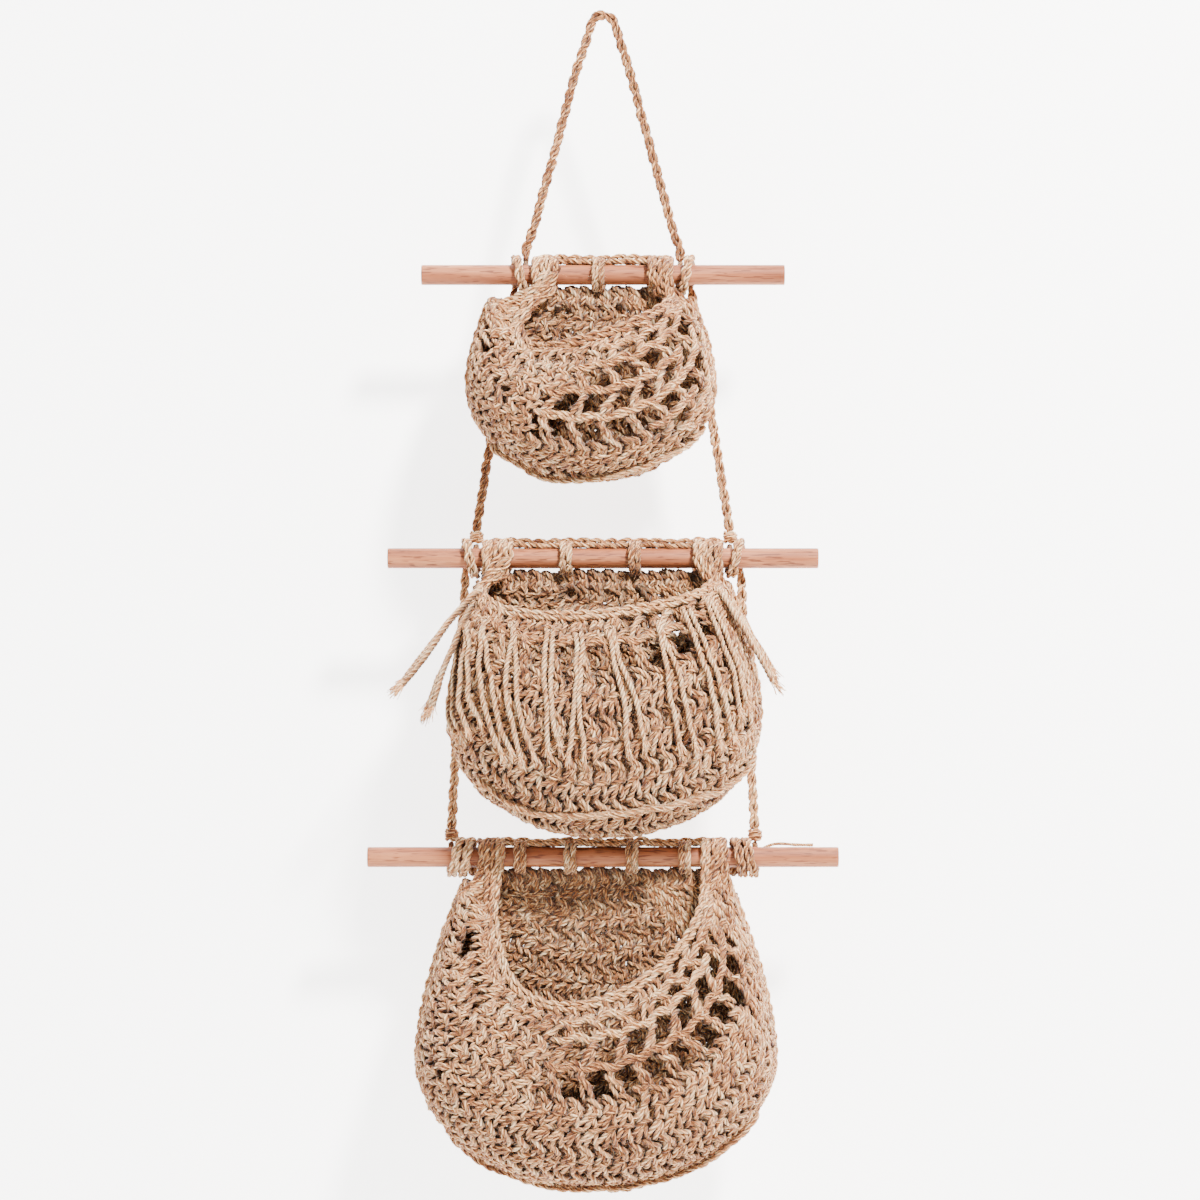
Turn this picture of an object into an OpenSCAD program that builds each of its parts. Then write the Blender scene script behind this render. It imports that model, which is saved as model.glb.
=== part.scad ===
// A three-tier hanging fruit basket: three crocheted jute pockets, each on its own round
// wooden dowel, hung one under another on a looped jute cord.
// Millimetres, +Z up, open fronts towards -Y. The origin is the point inside the loop that
// bears on a hook. The dowels run along X, with their axes in the plane Y = 0, and the cord
// runs down behind them.

/* [Dowels] */
// Diameter of the dowels
dowel_d = 15; // [12:0.5:17]
// Bevel round each end of a dowel
dowel_bevel = 0.6; // [0.2:0.1:1.5]
// Length of the top dowel
top_dowel_l = 270; // [240:1:300]
// Length of the middle dowel
middle_dowel_l = 320; // [290:1:360]
// Length of the bottom dowel
bottom_dowel_l = 350; // [320:1:400]

/* [Cord] */
// Diameter of the chain-stitched cord
cord_d = 7.2; // [6:0.1:7.6]
// Height of the loop, from the hook to the axis of the top dowel
loop_h = 189.5; // [185:0.5:210]
// Height left free from the bottom seam of the top basket to the axis of the middle dowel
upper_clear = 59.5; // [54:0.5:90]
// Height left free from the bottom seam of the middle basket to the axis of the bottom dowel
lower_clear = 20; // [20:0.5:50]
// Distance of the cord from the middle line where it meets the top dowel
top_cord_x = 57.5; // [52:0.5:64]
// Distance of the cord from the middle line where it meets the middle dowel
middle_cord_x = 94.5; // [88:0.5:104]
// Distance of the cord from the middle line where it meets the bottom dowel
bottom_cord_x = 113; // [106:0.5:124]
// Step sideways of one turn of cord round a dowel
turn_step = 7.9; // [7.8:0.1:9]
// Turns that close the cord on the bottom dowel
closing_turns = 2; // [1:1:2]
// Straight run of the cord into and out of its turns
lead = 7.2; // [7:0.1:10]
// Height of the knots above the middle and bottom dowels
knot_h = 8; // [6:0.5:10]
// Diameter of those knots
knot_d = 11.6; // [10:0.2:13]
// Diameter of the loose yarn end at the right-hand knot
tail_d = 2.4; // [2:0.1:3]

/* [Crochet] */
// Thickness of the crocheted walls
wall = 6; // [4:0.5:7]
// Width of the wide loops that hold a basket's corners on its dowel
wide_loop_w = 18; // [12:0.5:20]
// Width of the narrow loops between them
narrow_loop_w = 9; // [6:0.5:12]
// Thickness of the loops round the dowels
loop_t = 5; // [4:0.5:6]
// Thickness of the edge chain that joins a basket's loops
edge_d = 6.8; // [5:0.1:7]
// How far below a dowel's axis the backs and fronts start
shoulder_drop = 17; // [16:0.5:22]
// The ends of the rim lie this far in front of the panel
post_y = 8; // [7:0.5:12]

/* [Top basket] */
// Width at its widest
top_w = 182; // [160:1:200]
// Width just below the dowel
top_neck_w = 148; // [140:1:160]
// Height from the dowel's axis to the seam at the bottom
top_h = 151; // [140:1:160]
// How far the front bulges forward
top_depth = 72; // [60:1:90]
// How far the lowest point of the rim hangs below the dowel's axis
top_dip = 57; // [45:1:70]
// Width of the mouth
top_mouth_w = 112; // [100:1:116]
// How far the pocket hangs to the right of the middle line
top_shift = -9; // [-12:1:12]
// The same for its mouth
top_mouth_shift = -6; // [-8:1:8]
// How far the front sags below the seam
top_sag = 14; // [6:1:20]
// Place of the narrow loop along the dowel
top_loops = [-3];

/* [Middle basket] */
// Width at its widest
middle_w = 230; // [210:1:250]
// Width just below the dowel
middle_neck_w = 182; // [170:1:200]
// Height from the dowel's axis to the seam at the bottom
middle_h = 202; // [180:1:202]
// How far the front bulges forward
middle_depth = 84; // [70:1:100]
// How far the lowest point of the rim hangs below the dowel's axis
middle_dip = 43; // [35:1:60]
// Width of the mouth
middle_mouth_w = 172; // [150:1:176]
// How far the pocket hangs to the right of the middle line
middle_shift = 1; // [-8:1:8]
// The same for its mouth
middle_mouth_shift = -5; // [-8:1:8]
// How far the front sags below the seam
middle_sag = 24; // [6:1:26]
// Places of the narrow loops along the dowel
middle_loops = [-27, 24];
// Length of the fringe
fringe_l = 94; // [60:1:120]
// Thickness of one tassel, a doubled yarn
tassel_d = 4.4; // [3.6:0.2:5]

/* [Bottom basket] */
// Width at its widest
bottom_w = 264; // [240:1:290]
// Width just below the dowel
bottom_neck_w = 194; // [184:1:210]
// Height from the dowel's axis to the seam at the bottom
bottom_h = 238; // [210:1:260]
// How far the front bulges forward
bottom_depth = 98; // [80:1:115]
// How far the lowest point of the rim hangs below the dowel's axis
bottom_dip = 106; // [80:1:120]
// Width of the mouth
bottom_mouth_w = 158; // [140:1:170]
// How far the pocket hangs to the right of the middle line
bottom_shift = -5; // [-10:1:10]
// The same for its mouth
bottom_mouth_shift = -3; // [-8:1:8]
// How far the front sags below the seam
bottom_sag = 20; // [6:1:30]
// Places of the narrow loops along the dowel
bottom_loops = [-61, -24, 22, 61];

/* [Hidden] */

jute = "#b6977a";
beech = "#d3a088";

// Clearances: round a dowel, between two lengths of cord, the same where a right-hand length
// swings along with the left-hand one, beside a turn of cord, and between a tassel and the
// pocket that it hangs on
running = 0.35;
cord_gap = 0.4;
free_gap = 0.9;
loop_gap = 1.9;
tassel_gap = 0.4;

// Heights of the three dowel axes
top_z = -loop_h;
middle_z = top_z - top_h - upper_clear;
bottom_z = middle_z - middle_h - lower_clear;

dowel_r = dowel_d / 2;
cord_r = cord_d / 2;
bore_r = dowel_r + running;
// The cord's middle line lies this far from a dowel's axis
wind_r = bore_r + cord_r;

// The cord's stack above a dowel: the domed end of the turn, a gap, and what sits on it
seat_h = lead + cord_r + cord_gap;
knot_top_h = seat_h + knot_h;
// Middle of the domed lower and upper end of a cord between two dowels
cord_foot_h = knot_top_h + cord_gap + cord_r;
cord_head_h = lead + cord_gap + cord_r;

// Fields of a basket
SHIFT = 0;
HALF = 1;
NECK = 2;
WIDE = 3;
DROP = 4;
DEPTH = 5;
SAG = 6;
MOUTH = 7;
MOUTH_SHIFT = 8;
DIP = 9;
SKEW = 10;

// The widest place lies at this share of a basket's height
top_basket = [top_shift, top_w / 2, top_neck_w / 2, 0.53 * top_h, top_h, top_depth, top_sag,
    top_mouth_w / 2, top_mouth_shift, top_dip, 0.5];
middle_basket = [middle_shift, middle_w / 2, middle_neck_w / 2, 0.57 * middle_h, middle_h,
    middle_depth, middle_sag, middle_mouth_w / 2, middle_mouth_shift, middle_dip, 0.75];
bottom_basket = [bottom_shift, bottom_w / 2, bottom_neck_w / 2, 0.61 * bottom_h, bottom_h,
    bottom_depth, bottom_sag, bottom_mouth_w / 2, bottom_mouth_shift, bottom_dip, 0.75];

// Front face of every back panel, and how far the crochet starts below a dowel's axis
panel_y = -1;
edge_drop = max(shoulder_drop, wind_r + cord_r + loop_gap);

// Steps along the rim and from the seam up to it
along = 26;
up = 8;
function mix(a, b, t) = a + (b - a) * t;
function unit(v) = v / norm(v);

// Left half of the outline, mirrored: m runs from 0 at the neck to 0.5 at the bottom
function side_share(b) =
    let (side = b[WIDE] - edge_drop, arc = PI / 2 * (b[HALF] + b[DROP] - b[WIDE]))
    side / (2 * side + arc);
function half_outline(b, m) =
    let (f = side_share(b))
    m < f
        ? let (u = 1 - m / f)
          [b[HALF] - (b[HALF] - b[NECK]) * pow(u, 1.6), -mix(b[WIDE], edge_drop, u)]
        : let (a = 90 * (m - f) / (0.5 - f))
          [b[HALF] * cos(a), -b[WIDE] - (b[DROP] - b[WIDE]) * sin(a)];
// Outline of a basket's back in X and Z, from its left shoulder round to its right one
function outline(b, s) =
    let (p = half_outline(b, s < 0.5 ? s : 1 - s))
    [b[SHIFT] + (s < 0.5 ? -p[0] : p[0]), p[1]];
// The rim of the mouth, which droops and comes forward
function rim(b, s) =
    [b[MOUTH_SHIFT] - b[MOUTH] * cos(180 * s),
     panel_y - post_y - (0.65 * b[DEPTH] - post_y) * pow(sin(180 * s), 0.8),
     -edge_drop - (b[DIP] - edge_drop) * sin(180 * pow(s, b[SKEW]))];
// The pocket between seam and rim: each rib is one cubic curve that bulges forward
function swell(s) = 0.1 + 0.9 * pow(sin(180 * s), 0.7);
function pocket_at(b, s, t) =
    let (o = outline(b, s), m = rim(b, s), d = swell(s),
         seam = [o[0], panel_y, o[1]],
         low = seam - [0, 0.85 * b[DEPTH] * d, b[SAG] * d],
         high = [mix(o[0], m[0], 0.3), panel_y - 1.35 * b[DEPTH] * d, mix(o[1], m[2], 0.45)])
    pow(1 - t, 3) * seam + 3 * pow(1 - t, 2) * t * low
        + 3 * (1 - t) * t * t * high + t * t * t * m;
function outward(b, s, t) =
    let (e = 0.004)
    unit(cross(pocket_at(b, min(s + e, 1), t) - pocket_at(b, max(s - e, 0), t),
               pocket_at(b, s, min(t + e, 1)) - pocket_at(b, s, max(t - e, 0))));
function lining_at(b, s, t) =
    let (p = pocket_at(b, s, t) - wall * outward(b, s, t))
    t == 0 ? [p[0], panel_y, p[2]] : p;

function halves(q) = [[q[0], q[1], q[2]], [q[0], q[2], q[3]]];
function joined(lists) = [for (l = lists) each l];

// A crocheted pocket: the curved wall between seam and rim, of even thickness
module pocket(b) {
    row = up + 1;
    inside = (along + 1) * row;
    skin = [for (i = [0:along]) for (j = [0:up]) pocket_at(b, i / along, j / up)];
    lining = [for (i = [0:along]) for (j = [0:up]) lining_at(b, i / along, j / up)];
    faces = joined([
        for (i = [0:along - 1]) for (j = [0:up - 1])
            let (q = [i * row + j, i * row + j + 1, (i + 1) * row + j + 1, (i + 1) * row + j])
            concat(halves(q), halves([q[3] + inside, q[2] + inside, q[1] + inside, q[0] + inside])),
        for (i = [0:along - 1])
            let (a = i * row, c = (i + 1) * row)
            concat(halves([a, c, c + inside, a + inside]),
                   halves([c + up, a + up, a + up + inside, c + up + inside])),
        for (j = [0:up - 1])
            let (c = along * row + j)
            concat(halves([j + 1, j, j + inside, j + 1 + inside]),
                   halves([c, c + 1, c + 1 + inside, c + inside]))
    ]);
    polyhedron(points = concat(skin, lining), faces = faces);
}

// The flat back of a basket, with the strip between its corner loops taken up to the dowel
module back_panel(b, corner_x) {
    edge = [for (i = [0:2 * along]) outline(b, i / (2 * along))];
    translate([0, panel_y + wall, 0]) rotate([90, 0, 0]) linear_extrude(wall) union() {
        polygon(edge);
        reach = corner_x + wide_loop_w / 2;
        translate([-reach, -edge_drop - wall]) square([2 * reach, edge_drop + wall - bore_r - loop_t + 1]);
    }
}

// A loop of crochet round the dowel, with rounded edges
module dowel_loop(x, width) {
    translate([x, 0, 0]) rotate([0, 90, 0]) rotate_extrude($fn = 48) translate([bore_r + loop_t / 2, 0]) union() {
        square([loop_t, width - loop_t], center = true);
        for (side = [-1, 1]) translate([0, side * (width - loop_t) / 2]) circle(d = loop_t, $fn = 24);
    }
}

// The corner loops, the narrow loops between them and the chain along their tops
module dowel_loops(corner_x, narrow_x) {
    for (side = [-1, 1]) dowel_loop(side * corner_x, wide_loop_w);
    for (x = narrow_x) dowel_loop(x, narrow_loop_w);
    chain_r = bore_r + loop_t - edge_d / 2 + 2;
    translate([-corner_x, chain_r * sin(15), chain_r * cos(15)]) rotate([0, 90, 0])
        cylinder(d = edge_d, h = 2 * corner_x, $fn = 32);
}

module dowel(length) {
    plain = length / 2 - dowel_bevel;
    rotate([0, 90, 0]) rotate_extrude($fn = 64) polygon([
        [0, -length / 2], [dowel_r - dowel_bevel, -length / 2], [dowel_r, -plain],
        [dowel_r, plain], [dowel_r - dowel_bevel, length / 2], [0, length / 2]]);
}

// A tube through points, square to its path, with a radius and a sideways hint for each ring
module tube(points, radii, hints, sides) {
    last = len(points) - 1;
    ring = [for (i = [0:last])
        let (t = unit(points[min(i + 1, last)] - points[max(i - 1, 0)]),
             n = unit(hints[i] - (hints[i] * t) * t),
             w = cross(t, n))
        for (k = [0:sides - 1])
            points[i] + radii[i] * (cos(360 * k / sides) * n + sin(360 * k / sides) * w)];
    faces = joined([
        [for (k = [1:sides - 2]) [0, k, k + 1]],
        [for (k = [1:sides - 2]) [last * sides, last * sides + k + 1, last * sides + k]],
        for (i = [0:last - 1]) for (k = [0:sides - 1])
            let (a = i * sides + k, c = i * sides + (k + 1) % sides)
            halves([a, a + sides, c + sides, c])
    ]);
    polyhedron(points = ring, faces = faces);
}

// Rings of a domed end: how far each lies past the dome's middle and how wide it is
dome = [[sin(78), cos(78)], [sin(55), cos(55)], [sin(28), cos(28)]];
function backwards(v) = [for (i = [len(v) - 1:-1:0]) v[i]];

// A length of cord between two dowels, straight, with a dome at each end
module cord_between(head, foot) {
    way = unit(foot - head);
    steps = 4;
    run = [for (i = [0:steps]) mix(head, foot, i / steps)];
    points = concat([for (d = dome) head - cord_r * d[0] * way], run,
                    [for (d = backwards(dome)) foot + cord_r * d[0] * way]);
    radii = concat([for (d = dome) cord_r * d[1]], [for (p = run) cord_r],
                   [for (d = backwards(dome)) cord_r * d[1]]);
    tube(points, radii, [for (p = points) [0, 1, 0]], 8);
}

// Turns of cord round a dowel: down the back from a domed end, round, and down again. side
// is -1 on the left, and outwards says whether the turns step away from the middle line.
turn_rings = 24;
function turn_at(x, step, turns, u) =
    let (a = 360 * turns * u)
    [x + step * turns * (u - sin(a) / (2 * PI * turns)), wind_r * cos(a), -wind_r * sin(a)];
function wrap_path(x, step, turns, tail) = concat(
    [for (d = dome) [x, wind_r, lead + cord_r * d[0]]],
    [[x, wind_r, lead], [x, wind_r, lead / 2]],
    [for (i = [0:turn_rings * turns]) turn_at(x, step, turns, i / (turn_rings * turns))],
    [[x + step * turns, wind_r, -tail / 2], [x + step * turns, wind_r, -tail]]);
module wrap(side, x, outwards, turns, tail) {
    path = wrap_path(side * x, side * outwards * turn_step, turns, tail);
    radii = concat([for (d = dome) cord_r * d[1]], [for (i = [3:len(path) - 1]) cord_r]);
    tube(path, radii, [for (p = path) p[2] > 0 && p[1] == wind_r || p[2] < -wind_r
        ? [0, 1, 0] : [0, p[1], abs(p[1]) == wind_r ? 0 : p[2]]], 6);
}
// Least gap of a winding to itself, taken between points half a turn or more apart
function own_gap(path) = min([for (i = [0:len(path) - 1]) for (j = [i + turn_rings / 2:1:len(path) - 1])
    norm(path[i] - path[j])]) - cord_d;
echo(top_wrap_gap = own_gap(wrap_path(top_cord_x, turn_step, 1, lead)));
echo(bottom_wrap_gap = own_gap(wrap_path(bottom_cord_x, -turn_step, closing_turns, lead)));

// A knot of cord: a short barrel
module knot(x, z) {
    flat_r = cord_r + 0.6;
    bulge = knot_d / 2 - flat_r;
    arc_r = (knot_h * knot_h / 4 + bulge * bulge) / (2 * bulge);
    translate([x, wind_r, z]) rotate_extrude($fn = 32) intersection() {
        square([knot_d, knot_h]);
        union() {
            translate([knot_d / 2 - arc_r, knot_h / 2]) circle(r = arc_r, $fn = 64);
            square([flat_r, knot_h]);
        }
    }
}

// Right half of the hanging loop, from the top down, as chosen points; its foot follows the
// place and height of the turn that it meets
loop_bend = [[0, 0, 3.6], [4.4, 0, 2.4], [7.6, 0, -0.8], [9.4, 0.2, -5.4], [11.4, 0.6, -12],
    [15.4, 1.6, -24], [21.6, 3, -44], [29.6, 5, -74], [38.4, 7.2, -106], [46.4, 9.2, -135],
    [52.2, 10.6, -156]];
loop_foot = [[top_cord_x - 0.6, wind_r, top_z + seat_h + 1.4 * lead],
    [top_cord_x, wind_r, top_z + seat_h + 0.7 * lead], [top_cord_x, wind_r, top_z + seat_h]];
function mirrored(v) = [for (p = v) [-p[0], p[1], p[2]]];

module hanging_cord() {
    half = concat(loop_bend, loop_foot);
    route = concat(mirrored(backwards(half)), [for (i = [1:len(half) - 1]) half[i]]);
    color(jute) tube(route, [for (p = route) cord_r], [for (p = route) [0, 1, 0]], 8);
}

// Where the cord leaves each set of turns
top_out_x = top_cord_x + turn_step;
middle_out_x = middle_cord_x + turn_step;

function foot_h(side) = cord_foot_h + (side > 0 ? free_gap - cord_gap : 0);
module upper_cord(side) {
    color(jute) cord_between([side * top_out_x, wind_r, top_z - cord_head_h],
                             [side * middle_cord_x, wind_r, middle_z + foot_h(side)]);
}
module lower_cord(side) {
    color(jute) cord_between([side * middle_out_x, wind_r, middle_z - cord_head_h],
                             [side * bottom_cord_x, wind_r, bottom_z + foot_h(side)]);
}
module top_wrap(side) {
    color(jute) translate([0, 0, top_z]) wrap(side, top_cord_x, 1, 1, lead);
}
module middle_wrap(side) {
    color(jute) translate([0, 0, middle_z]) wrap(side, middle_cord_x, 1, 1, lead);
}
// The cord's end hangs a little below the bottom dowel
closing_tail = 14;
module bottom_wrap(side) {
    color(jute) translate([0, 0, bottom_z]) wrap(side, bottom_cord_x, -1, closing_turns, closing_tail);
}
module middle_knot(side) {
    color(jute) knot(side * middle_cord_x, middle_z + seat_h);
}
module bottom_knot(side) {
    color(jute) knot(side * bottom_cord_x, bottom_z + seat_h);
}

// The loose yarn end: from beside the right-hand turn, over and down onto the dowel
tail_route = [[0, 0, 0], [3.4, -0.2, 2], [8, -2, 3.8], [13, -5, 4.6], [18, -8.4, 4.6],
    [24, -10.8, 4.2], [31, -11.4, 4], [38, -11.4, 4]];
tail_rise = 4;
module yarn_tail() {
    start = [bottom_cord_x + cord_r + tail_d / 2 + cord_gap, wind_r,
        bottom_z + bore_r + tail_d / 2 - tail_rise];
    points = [for (p = tail_route) start + p];
    color(jute) tube(points, [for (p = points) tail_d / 2], [for (p = points) [0, 0, 1]], 8);
}

// Corner loops sit just inside the cord's turns
top_corner_x = top_cord_x - cord_r - loop_gap - wide_loop_w / 2;
middle_corner_x = middle_cord_x - cord_r - loop_gap - wide_loop_w / 2;
bottom_corner_x = bottom_cord_x - closing_turns * turn_step - cord_r - loop_gap - wide_loop_w / 2;

module top_dowel_loops() {
    color(jute) translate([0, 0, top_z]) dowel_loops(top_corner_x, top_loops);
}
module middle_dowel_loops() {
    color(jute) translate([0, 0, middle_z]) dowel_loops(middle_corner_x, middle_loops);
}
module bottom_dowel_loops() {
    color(jute) translate([0, 0, bottom_z]) dowel_loops(bottom_corner_x, bottom_loops);
}
module top_back_panel() {
    color(jute) translate([0, 0, top_z]) back_panel(top_basket, top_corner_x);
}
module middle_back_panel() {
    color(jute) translate([0, 0, middle_z]) back_panel(middle_basket, middle_corner_x);
}
module bottom_back_panel() {
    color(jute) translate([0, 0, bottom_z]) back_panel(bottom_basket, bottom_corner_x);
}
module top_pocket() {
    color(jute) translate([0, 0, top_z]) pocket(top_basket);
}
module middle_pocket() {
    color(jute) translate([0, 0, middle_z]) pocket(middle_basket);
}
module bottom_pocket() {
    color(jute) translate([0, 0, bottom_z]) pocket(bottom_basket);
}

module top_dowel() {
    color(beech) translate([0, 0, top_z]) dowel(top_dowel_l);
}
module middle_dowel() {
    color(beech) translate([0, 0, middle_z]) dowel(middle_dowel_l);
}
module bottom_dowel() {
    color(beech) translate([0, 0, bottom_z]) dowel(bottom_dowel_l);
}

// Root and tip of each tassel on the pocket, as shares along it and up it, for a fringe
// 94 mm long, and how far the tip stands off
tassels = [
    [0.02, 0.84, 0.16, 0.34, 34], [0.045, 0.6, 0.19, 0.34, 15], [0.09, 0.42, 0.25, 0.4, 2],
    [0.11, 0.72, 0.275, 0.56, 2], [0.175, 0.9, 0.345, 0.55, 2], [0.275, 0.95, 0.385, 0.57, 2],
    [0.385, 0.95, 0.425, 0.61, 2], [0.455, 0.95, 0.465, 0.6, 2], [0.535, 0.95, 0.555, 0.63, 2],
    [0.655, 0.95, 0.635, 0.59, 2], [0.745, 0.95, 0.705, 0.52, 2], [0.85, 0.95, 0.765, 0.53, 2],
    [0.94, 0.9, 0.86, 0.3, 12]
];
tassel_rings = 8;
module fringe_tassel(n) {
    spot = tassels[n - 1];
    r = tassel_d / 2;
    share = fringe_l / 94;
    points = [for (i = [0:tassel_rings])
        let (u = i / tassel_rings,
             s = mix(spot[0], spot[2], u * share),
             t = mix(spot[1], spot[3], u * share))
        pocket_at(middle_basket, s, t)
            + (r + tassel_gap + spot[4] * pow(u, 1.5)) * outward(middle_basket, s, t)];
    color(jute) translate([0, 0, middle_z])
        tube(points, [for (p = points) r], [for (p = points) [1, 0, 0]], 6);
}

hanging_cord();
top_wrap(-1);  // top_wrap_left
top_wrap(1);  // top_wrap_right
top_dowel();
top_dowel_loops();
top_back_panel();
top_pocket();
upper_cord(-1);  // upper_cord_left
upper_cord(1);  // upper_cord_right
middle_knot(-1);  // middle_knot_left
middle_knot(1);  // middle_knot_right
middle_wrap(-1);  // middle_wrap_left
middle_wrap(1);  // middle_wrap_right
middle_dowel();
middle_dowel_loops();
middle_back_panel();
middle_pocket();
for (n = [1:len(tassels)]) {
    fringe_tassel(n);
}
lower_cord(-1);  // lower_cord_left
lower_cord(1);  // lower_cord_right
bottom_knot(-1);  // bottom_knot_left
bottom_knot(1);  // bottom_knot_right
bottom_wrap(-1);  // bottom_wrap_left
bottom_wrap(1);  // bottom_wrap_right
yarn_tail();
bottom_dowel();
bottom_dowel_loops();
bottom_back_panel();
bottom_pocket();
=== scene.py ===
"""Looks of the three-tier hanging basket: crocheted jute, cord, fringe and beech dowels.

Every strand is swept as a three-ply yarn along a path of its own. Paths are worked out in
millimetres on the same surfaces as the solids and turned into metres when a mesh is made.
"""
import math

import bpy
import numpy as np
from mathutils import Matrix, Vector


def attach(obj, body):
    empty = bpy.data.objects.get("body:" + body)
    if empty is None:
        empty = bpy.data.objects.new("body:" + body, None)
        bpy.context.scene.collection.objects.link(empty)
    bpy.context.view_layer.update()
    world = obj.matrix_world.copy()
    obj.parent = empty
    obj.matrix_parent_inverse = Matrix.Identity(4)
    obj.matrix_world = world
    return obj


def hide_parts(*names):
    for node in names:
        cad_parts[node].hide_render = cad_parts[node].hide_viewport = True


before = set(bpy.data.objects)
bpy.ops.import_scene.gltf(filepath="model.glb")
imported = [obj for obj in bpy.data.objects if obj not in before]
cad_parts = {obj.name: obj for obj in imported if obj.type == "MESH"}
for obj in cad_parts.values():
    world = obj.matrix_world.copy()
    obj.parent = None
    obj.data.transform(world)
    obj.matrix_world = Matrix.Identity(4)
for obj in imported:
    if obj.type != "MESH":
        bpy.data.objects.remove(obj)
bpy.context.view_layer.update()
rng = np.random.default_rng(41)

MM = 0.001

# Heights of the dowel axes and the cord's places on them, as in the solids
TOP_Z, MIDDLE_Z, BOTTOM_Z = -189.5, -400.0, -622.0
DOWEL_R, WIND_R, CORD_R = 7.5, 11.45, 3.6
EDGE_DROP, PANEL_Y, WALL, LOOP_T = 17.0, -1.0, 6.0, 5.0
TOP_X, MIDDLE_X, BOTTOM_X, TURN_STEP, LEAD = 57.5, 94.5, 113.0, 7.9, 7.2
HEAD_H, FOOT_H, FREE = 11.2, 23.2, 0.5

BASKETS = {
    "top": dict(z=TOP_Z, shift=-9, half=91, neck=74, wide=80.03, drop=151, depth=72, sag=14,
                mouth=56, mouth_shift=-6, dip=57, skew=0.5),
    "middle": dict(z=MIDDLE_Z, shift=1, half=115, neck=91, wide=115.14, drop=202, depth=84, sag=24,
                   mouth=86, mouth_shift=-5, dip=43, skew=0.75),
    "bottom": dict(z=BOTTOM_Z, shift=-5, half=132, neck=97, wide=145.18, drop=238, depth=98, sag=20,
                   mouth=79, mouth_shift=-3, dip=106, skew=0.75),
}


# ---- camera and cords come first ----

def add_camera():
    """A long lens straight in front, framed as the photograph."""
    distance, frame_w = 3.3, 0.8916
    cam = bpy.data.cameras.new("camera")
    cam.sensor_width = 36.0
    cam.lens = 36.0 * distance / frame_w
    cam.clip_end = 30.0
    obj = bpy.data.objects.new("camera", cam)
    bpy.context.scene.collection.objects.link(obj)
    obj.location = (-0.0022, -distance, -0.431)
    obj.rotation_euler = (math.radians(90), 0, 0)
    bpy.context.scene.camera = obj


add_camera()


def linear(code):
    """Linear colour from an sRGB hex code."""
    parts = [int(code[i:i + 2], 16) / 255 for i in (1, 3, 5)]
    return tuple(c / 12.92 if c <= 0.04045 else ((c + 0.055) / 1.055) ** 2.4 for c in parts) + (1.0,)


class Nodes:
    """A material's node tree, with short calls for what is used here."""

    def __init__(self, name):
        self.material = bpy.data.materials.new(name)
        self.material.use_nodes = True
        self.tree = self.material.node_tree
        self.shader = next(n for n in self.tree.nodes if n.type == "BSDF_PRINCIPLED")

    def add(self, kind, **values):
        node = self.tree.nodes.new(kind)
        for key, value in values.items():
            setattr(node, key, value)
        return node

    def link(self, a, b):
        self.tree.links.new(a, b)

    def math(self, op, a, b=0.0):
        node = self.add("ShaderNodeMath", operation=op)
        for socket, value in zip(node.inputs, (a, b)):
            if isinstance(value, (int, float)):
                socket.default_value = value
            else:
                self.link(value, socket)
        return node.outputs[0]

    def noise(self, vector, scale, detail=3.0, rough=0.6):
        node = self.add("ShaderNodeTexNoise")
        node.inputs["Scale"].default_value = scale
        node.inputs["Detail"].default_value = detail
        node.inputs["Roughness"].default_value = rough
        self.link(vector, node.inputs["Vector"])
        return node.outputs["Fac"]

    def ramp(self, factor, stops):
        node = self.add("ShaderNodeValToRGB")
        ends = node.color_ramp.elements
        while len(ends) < len(stops):
            ends.new(0.5)
        for end, (place, colour) in zip(ends, stops):
            end.position = place
            end.color = linear(colour)
        self.link(factor, node.inputs["Fac"])
        return node.outputs["Color"]

    def scaled(self, vector, scale):
        node = self.add("ShaderNodeMapping")
        node.inputs["Scale"].default_value = scale
        self.link(vector, node.inputs["Vector"])
        return node.outputs["Vector"]

    def mix(self, factor, a, b, blend="MIX"):
        node = self.add("ShaderNodeMix", data_type="RGBA", blend_type=blend)
        for name, value in (("Factor", factor), ("A", a), ("B", b)):
            socket = next(s for s in node.inputs if s.name == name and (name == "Factor" or s.type == "RGBA")
                          and s.enabled)
            if isinstance(value, (int, float)):
                socket.default_value = value
            elif isinstance(value, str):
                socket.default_value = linear(value)
            else:
                self.link(value, socket)
        return next(s for s in node.outputs if s.type == "RGBA")

    def bump(self, height, strength, distance):
        node = self.add("ShaderNodeBump")
        node.inputs["Strength"].default_value = strength
        node.inputs["Distance"].default_value = distance
        self.link(height, node.inputs["Height"])
        self.link(node.outputs["Normal"], self.shader.inputs["Normal"])


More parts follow.
